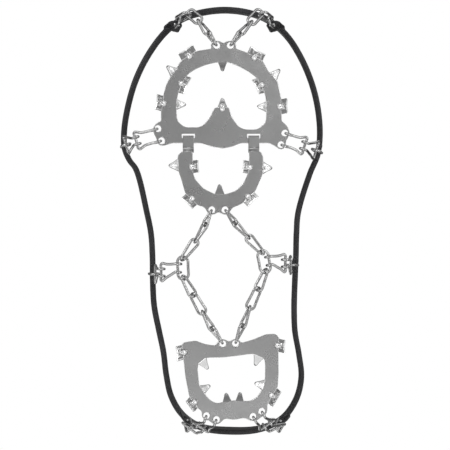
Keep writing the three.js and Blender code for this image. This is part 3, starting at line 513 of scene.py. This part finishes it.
def oval_link(name, a, b, ra, rb, half=LINK_R):
    A, B = Vector(a), Vector(b)
    d = B - A
    reach = d.length / 2 + (WIRE + GAP) / 2
    d.normalize()
    mid = (A + B) / 2
    l0, v0 = frame_of(d)
    c = reach - half
    path = []
    for i in range(21):
        f = -math.pi / 2 + math.pi * i / 20
        path.append((c + half * math.cos(f), half * math.sin(f)))
    for i in range(1, 16):
        path.append((c - 2 * c * i / 16, half - 0.10 * math.sin(math.pi * i / 16)))
    for i in range(21):
        f = math.pi / 2 + math.pi * i / 20
        path.append((-c + half * math.cos(f), half * math.sin(f)))
    for i in range(1, 16):
        path.append((-c + 2 * c * i / 16, -half + 0.10 * math.sin(math.pi * i / 16)))
    roll = lambda s: math.radians(ra + (rb - ra) * (s / reach + 1) / 2)
    pts, nrm = [], []
    for s, t in path:
        r = roll(s)
        pts.append(mid + d * s + l0 * t * math.cos(r) + v0 * t * math.sin(r))
        nrm.append(v0 * math.cos(r) - l0 * math.sin(r))
    weld = (21 + 8) / len(path)

    def rad(f):
        return WIRE / 2 * (1 + 0.13 * math.exp(-((f - weld) / 0.012) ** 2) - 0.03 * math.exp(-((f - weld) / 0.035) ** 2))
    V, F = tube_ring(pts, nrm, rad)
    ob = add_object(name, V, F, MAT_WIRE)
    return ob


def catmull(P, per=10):
    """Centripetal Catmull-Rom through P, open."""
    P = [P[0] * 2 - P[1]] + list(P) + [P[-1] * 2 - P[-2]]
    out = []
    for i in range(1, len(P) - 2):
        p0, p1, p2, p3 = P[i - 1:i + 3]
        t0 = 0
        t1 = t0 + max(1e-6, (p1 - p0).length) ** 0.5
        t2 = t1 + max(1e-6, (p2 - p1).length) ** 0.5
        t3 = t2 + max(1e-6, (p3 - p2).length) ** 0.5
        for k in range(per):
            t = t1 + (t2 - t1) * k / per
            a1 = p0 * ((t1 - t) / (t1 - t0)) + p1 * ((t - t0) / (t1 - t0))
            a2 = p1 * ((t2 - t) / (t2 - t1)) + p2 * ((t - t1) / (t2 - t1))
            a3 = p2 * ((t3 - t) / (t3 - t2)) + p3 * ((t - t2) / (t3 - t2))
            b1 = a1 * ((t2 - t) / (t2 - t0)) + a2 * ((t - t0) / (t2 - t0))
            b2 = a2 * ((t3 - t) / (t3 - t1)) + a3 * ((t - t1) / (t3 - t1))
            out.append(b1 * ((t2 - t) / (t2 - t1)) + b2 * ((t - t1) / (t2 - t1)))
    out.append(P[-2].copy())
    return out


def tube_open(name, pts, r, mat, sides=14):
    n = len(pts)
    T = [(pts[min(n - 1, i + 1)] - pts[max(0, i - 1)]).normalized() for i in range(n)]
    N = T[0].orthogonal().normalized()
    V, F = [], []
    rings = []
    # cut ends: the end rings narrow to 0.72 of the radius and are closed flat
    caps = [(-0.0, 0.55), (0.0, 0.85)]
    prev = N
    for i in range(n):
        prev = (prev - T[i] * prev.dot(T[i])).normalized()
        b = T[i].cross(prev)
        k = 1.0
        if i == 0 or i == n - 1:
            k = 0.72
        rings.append(len(V))
        for j in range(sides):
            t = 2 * math.pi * j / sides
            V.append((pts[i] + prev * r * k * math.cos(t) + b * r * k * math.sin(t)) * MM)
    for i in range(n - 1):
        a, c = rings[i], rings[i + 1]
        for j in range(sides):
            q = (j + 1) % sides
            F.append((a + j, a + q, c + q, c + j))
    F.append(tuple(rings[0] + j for j in range(sides - 1, -1, -1)))
    F.append(tuple(rings[-1] + j for j in range(sides)))
    ob = add_object(name, V, F, mat)
    clean(ob, 1e-8)
    shade(ob, 60)
    return ob


def ladder_link(name, P, Q, barP, barQ, eyes):
    p, q = Vector(P), Vector(Q)
    u = q - p
    L = u.length
    u.normalize()
    v, w = Vector(barP).normalized(), Vector(barQ).normalized()
    ue = (u - v * u.dot(v)).normalized()
    n = ue.cross(v)
    if n.z > 0:
        n = -n
    n = -n
    half = []
    for deg in range(20, 241, 20):
        t = math.radians(deg)
        half.append((EYE_R * math.cos(t), EYE_R * math.sin(t)))
    half.append((0.6, -EYE_R))
    arm = [(L * 0.4, max(eyes, 3.9), -1.6), (L * 0.64, 4.7, -0.8), (L * 0.82, 5.7, -0.25),
           (L - 0.7, SHOULDER, 0), (L + 0.15, BAR_HALF + 0.8, 0), (L, BAR_HALF - 0.9, 0)]

    def side(s):
        o = [p + v * (s * eyes) + ue * a + n * b for a, b in half]
        for a, b, c in arm:
            f = min(1, a / L)
            g = f * f * (3 - 2 * f)
            o.append(p + u * a + v * (s * b * (1 - g)) + w * (s * b * g) + n * c)
        return o
    pts = side(1) + side(-1)[::-1]
    return tube_open(name, catmull(pts, 6), WIRE / 2, MAT_WIRE)


# ------------------------------------------------------------------ build steel
PIECES = {}
toe = plate("toe_plate", TOE_OUTER, [rounded(TOE_INNER, 2.6, 4)] + [circle(h[0], h[1], HOLE_R) for h in TOE_HOLES] + [slot_loop(s) for s in SLOTS], TOE_SPIKES)
ball = plate("ball_plate", BALL_OUTER, [circle(h[0], h[1], HOLE_R) for h in BALL_HOLES], BALL_SPIKES, HOOK_X)
heel = plate("heel_plate", HEEL_OUTER, [rounded(HEEL_INNER, 2.4, 4)] + [circle(h[0], h[1], HOLE_R) for h in HEEL_HOLES], HEEL_SPIKES)
for n, o in (("toe_plate", toe), ("ball_plate", ball), ("heel_plate", heel)):
    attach(o, n)
    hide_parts(n)


def put(ob, nodename):
    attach(ob, nodename)
    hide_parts(nodename)


ears = []


def run_chain(name, run):
    h = Vector(run["hole"])
    pts = [h] + [Vector(q) for q in run["pts"]]
    level = pts[1] - h
    level.z = 0
    level.normalize()
    first = h + level * 0.55
    along = (pts[1] - first).normalized()
    first = first + along * (WIRE + GAP) / 2
    pts[0] = first
    start, d, plane, square = first.copy(), (pts[1] - first).normalized(), None, None

    def hook_on(joint, target):
        nonlocal start, d, square
        centre = joint + d * ((WIRE + GAP) / 2 - LINK_R)
        dd = (target - joint).normalized()
        for _ in range(4):
            e = (dd - plane * dd.dot(plane)).normalized()
            wire = centre + e * LINK_R
            dd = (target - wire).normalized()
        start = wire - dd * (WIRE + GAP) / 2
        square = plane.cross(e).cross(dd).normalized()
        d = (target - start).normalized()

    def roll_of(l):
        l0, v0 = frame_of(d)
        return math.degrees(math.atan2(l.dot(v0), l.dot(l0)))
    for i in range(len(pts) - 1):
        if i:
            hook_on(pts[i], pts[i + 1])
        ra, rb = run["rolls"][i]
        if ra == "square":
            ra = rb = roll_of(square)
        put(oval_link(f"{name}_{i + 1}_wire", start, pts[i + 1], ra, rb), f"{name}_{i + 1}")
        l0, v0 = frame_of(d)
        r = math.radians(rb)
        plane = v0 * math.cos(r) - l0 * math.sin(r)
    if "ring" in run:
        e = Vector(run["ring"])
        hook_on(pts[-1], e)
        roll = roll_of(square)
        nn = name.replace("chain", "ring")
        put(oval_link(nn + "_wire", start, e, roll, roll, RING_R), nn)
        ears.append((e + d * (WIRE + GAP) / 2, d.copy(), square.copy(), 9.5))


for nm, run in RUNS.items():
    run_chain(nm, run)
for nm, j in JUNCTIONS.items():
    put(oval_link(nm + "_wire", j["pts"][0], j["pts"][1], j["roll"], j["roll"], JUNCTION_R), nm)
for nm, l in LADDERS.items():
    put(ladder_link(nm + "_1_wire", l["at"][0], l["at"][1], l["bars"][0], l["bars"][1], l["eyes"]), nm + "_1")
    put(ladder_link(nm + "_2_wire", l["at"][1], l["at"][2], l["bars"][1], l["bars"][2], 2.5), nm + "_2")
    c, e = Vector(l["at"][2]), Vector(l["ear"])
    d = (e - c).normalized()
    across = Vector(l["bars"][2]).cross(d).normalized()
    l0, v0 = frame_of(d)
    roll = math.degrees(math.atan2(across.dot(v0), across.dot(l0)))
    nn = nm.replace("ladder", "ring")
    put(oval_link(nn + "_wire", c - d * (WIRE + GAP) / 2, e, roll, roll, RING_R), nn)
    ears.append((e + d * (WIRE + GAP) / 2, d, across, 8.5))

# ------------------------------------------------------------------ harness
def closed_spline(P, per=9):
    n = len(P)
    out = []
    for i in range(n):
        seg = catmull([P[i - 1], P[i], P[(i + 1) % n], P[(i + 2) % n]], per)
        out += seg[per:2 * per]
    return out


def harness():
    st = [Vector(s) for s in FRONT] + [Vector(s) for s in REAR[::-1]]
    # Vector of 4: x, y, low, high
    loop = closed_spline(st, 9)
    prof = []
    # cross-section: across (+ outwards) and up the height; a bead runs along both edges
    def section(lo, hi):
        m = (hi - lo)
        out = []
        for t, hw in ((0.0, 0.95), (0.035, 1.55), (0.09, 1.95), (0.16, 1.95), (0.24, 1.55), (0.34, 1.3), (0.5, 1.22), (0.66, 1.3), (0.76, 1.55), (0.84, 1.95), (0.91, 1.95), (0.965, 1.55), (1.0, 0.95)):
            out.append((hw, lo + m * t))
        return out + [(-a, z) for a, z in out[::-1]]
    V, F = [], []
    n = len(loop)
    k = None
    for i in range(n):
        a, b = loop[i - 1], loop[(i + 1) % n]
        t = Vector((b[0] - a[0], b[1] - a[1])).normalized()
        nx, ny = t.y, -t.x
        sec = section(loop[i][2], loop[i][3])
        k = len(sec)
        for s, z in sec:
            V.append(Vector((loop[i][0] + nx * s, loop[i][1] + ny * s, z)) * MM)
    for i in range(n):
        j = (i + 1) % n
        for m in range(k):
            q = (m + 1) % k
            F.append((i * k + m, j * k + m, j * k + q, i * k + q))
    band = add_object("harness_band", V, F, MAT_RUBBER)
    clean(band, 1e-7)
    objs = [band]
    for i, (at, d, across, reach) in enumerate(ears):
        across = (across - d * across.dot(d)).normalized()
        nn = d.cross(across)
        w = 5.0
        pts2 = rounded([(-4.7, -w + 2.6), (-4.7, w - 2.6), (-1.2, w), (reach - 1.0, w * 1.25), (reach - 1.0, -w * 1.25), (-1.2, -w)], 2.2, 6)
        hole = circle(0.1, 0, 3.45, 32)
        m = Matrix((
            (d.x, nn.x, across.x, at.x), (d.y, nn.y, across.y, at.y), (d.z, nn.z, across.z, at.z), (0, 0, 0, 1)))
        cu = bpy.data.curves.new("ear", "CURVE")
        cu.dimensions = "2D"
        cu.fill_mode = "BOTH"
        cu.extrude = 0.95 * MM
        for lp in (pts2, hole):
            sp = cu.splines.new("POLY")
            sp.points.add(len(lp) - 1)
            for q, v in zip(sp.points, lp):
                q.co = (v[0] * MM, v[1] * MM, 0, 1)
            sp.use_cyclic_u = True
        tmp = bpy.data.objects.new("ear", cu)
        bpy.context.scene.collection.objects.link(tmp)
        bpy.context.view_layer.update()
        dg = bpy.context.evaluated_depsgraph_get()
        me = bpy.data.meshes.new_from_object(tmp.evaluated_get(dg), depsgraph=dg)
        bpy.data.objects.remove(tmp)
        mt = m.copy()
        mt.translation = Vector(mt.translation) * MM
        me.transform(mt)
        eo = bpy.data.objects.new(f"ear_{i}", me)
        bpy.context.scene.collection.objects.link(eo)
        clean(eo)
        objs.append(eo)
        # moulded collar round the hole
        cp, cn = [], []
        for s in range(36):
            t = 2 * math.pi * s / 36
            cp.append(at + (d * (math.cos(t) * 4.5 + 0.1) + nn * math.sin(t) * 4.5))
            cn.append(across)
        Vc, Fc = tube_ring(cp, cn, lambda f: 1.0, 12)
        objs.append(add_object(f"collar_{i}", Vc, Fc, None))
    bm = bmesh.new()
    for o in objs:
        bm.from_mesh(o.data)
    me = bpy.data.meshes.new("harness_elastomer")
    bm.to_mesh(me)
    bm.free()
    for o in objs:
        drop(o)
    ob = bpy.data.objects.new("harness_elastomer", me)
    bpy.context.scene.collection.objects.link(ob)
    md = ob.modifiers.new("r", "REMESH")
    md.mode = "VOXEL"
    md.voxel_size = 0.55 * MM
    apply_mods(ob)
    md = ob.modifiers.new("s", "SMOOTH")
    md.factor = 0.5
    md.iterations = 5
    apply_mods(ob)
    ob.data.materials.clear()
    ob.data.materials.append(MAT_RUBBER)
    shade(ob, None)
    return ob


band = harness()
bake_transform(band)
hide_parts("harness_front", "harness_rear", "harness_bridge_right", "harness_bridge_left")

# ------------------------------------------------------------------ floor, light, world
bm = bmesh.new()
bmesh.ops.create_grid(bm, x_segments=4, y_segments=4, size=16)
me = bpy.data.meshes.new("floor")
bm.to_mesh(me)
bm.free()
floor = bpy.data.objects.new("floor", me)
floor.location = (0, 0, -1.6)
bpy.context.scene.collection.objects.link(floor)
fm, fnt, fb = new_mat("floor_pale")
fb.inputs["Base Color"].default_value = (0.80, 0.80, 0.80, 1)
fb.inputs["Roughness"].default_value = 0.85
fb.inputs["Emission Color"].default_value = (1, 1, 1, 1)
fb.inputs["Emission Strength"].default_value = 0.55
me.materials.append(fm)
floor.visible_glossy = False

world = bpy.data.worlds.new("studio")
bpy.context.scene.world = world
world.use_nodes = True
wn = world.node_tree
for n in list(wn.nodes):
    wn.nodes.remove(n)
wo = wn.nodes.new("ShaderNodeOutputWorld")
mixs = wn.nodes.new("ShaderNodeMixShader")
lp = wn.nodes.new("ShaderNodeLightPath")
bg1 = wn.nodes.new("ShaderNodeBackground")
bg2 = wn.nodes.new("ShaderNodeBackground")
tc = wn.nodes.new("ShaderNodeTexCoord")
sx = wn.nodes.new("ShaderNodeSeparateXYZ")
wn.links.new(tc.outputs["Generated"], sx.inputs[0])
mr = wn.nodes.new("ShaderNodeMapRange")
mr.inputs["From Min"].default_value = -1
mr.inputs["From Max"].default_value = 1
wn.links.new(sx.outputs["Z"], mr.inputs["Value"])
sky = ramp(wn, mr.outputs[0], [(0.0, grey(0.22)), (0.04, grey(0.22)), (0.08, grey(0.24)), (0.14, grey(0.85)), (0.44, grey(0.95)), (0.51, grey(0.60)), (0.54, grey(0.03)), (0.74, grey(0.05)), (0.80, grey(0.34)), (0.95, grey(0.30)), (1.0, grey(0.06))])


def softbox(d, inner, outer, power, under):
    """A round soft light in direction d, with its full power within `inner` degrees."""
    dp = wn.nodes.new("ShaderNodeVectorMath")
    dp.operation = "DOT_PRODUCT"
    dp.inputs[1].default_value = Vector(d).normalized()
    wn.links.new(tc.outputs["Generated"], dp.inputs[0])
    m = wn.nodes.new("ShaderNodeMapRange")
    m.interpolation_type = "SMOOTHSTEP"
    m.inputs["From Min"].default_value = math.cos(math.radians(outer))
    m.inputs["From Max"].default_value = math.cos(math.radians(inner))
    m.inputs["To Max"].default_value = power
    wn.links.new(dp.outputs["Value"], m.inputs["Value"])
    add = wn.nodes.new("ShaderNodeMix")
    add.data_type = "RGBA"
    add.blend_type = "ADD"
    add.clamp_result = False
    add.inputs[0].default_value = 1.0
    wn.links.new(under, add.inputs[6])
    wn.links.new(m.outputs[0], add.inputs[7])
    return add.outputs[2]


sky = softbox((0.55, 0.55, -0.63), 8, 14, 4, sky)
sky = softbox((-0.70, 0.25, -0.66), 7, 12, 4, sky)
sky = softbox((0.15, -0.75, -0.62), 7, 12, 3, sky)
sky = softbox((0, -0.25, -0.97), 3, 10, 3.5, sky)
sky = softbox((-0.085, 0.15, -0.985), 1, 6, 5.0, sky)
sky = softbox((0.45, -0.65, 0.60), 9, 22, 1.1, sky)
sky = softbox((-0.60, 0.55, 0.55), 9, 22, 1.1, sky)
wn.links.new(sky, bg1.inputs[0])
bg1.inputs[1].default_value = 1.0
bg2.inputs[0].default_value = (1, 1, 1, 1)
bg2.inputs[1].default_value = 1.0
wn.links.new(lp.outputs["Is Camera Ray"], mixs.inputs[0])
wn.links.new(bg1.outputs[0], mixs.inputs[1])
wn.links.new(bg2.outputs[0], mixs.inputs[2])
wn.links.new(mixs.outputs[0], wo.inputs[0])


def area(name, loc, target, size, power):
    l = bpy.data.lights.new(name, "AREA")
    l.shape = "RECTANGLE"
    l.size, l.size_y = size
    l.energy = power
    o = bpy.data.objects.new(name, l)
    o.location = loc
    o.rotation_euler = (Vector(target) - Vector(loc)).to_track_quat("-Z", "Y").to_euler()
    bpy.context.scene.collection.objects.link(o)
    return o


C = (0, -0.06, 0)
key = area("key_below", (-0.75, 0.55, -0.95), C, (0.7, 0.7), 9)
fill = area("fill_below", (0.85, -0.35, -0.75), C, (0.5, 0.9), 5)
key.visible_glossy = False
fill.visible_glossy = False
for lamp in (area("rim_side", (0.9, 0.5, 0.25), C, (0.5, 0.8), 4), area("rim_side_2", (-0.9, -0.6, 0.25), C, (0.5, 0.8), 4),
             area("top_soft", (0.3, -0.4, 1.3), C, (1.2, 1.2), 12)):
    lamp.visible_glossy = False

bpy.context.scene.view_settings.view_transform = "Standard"
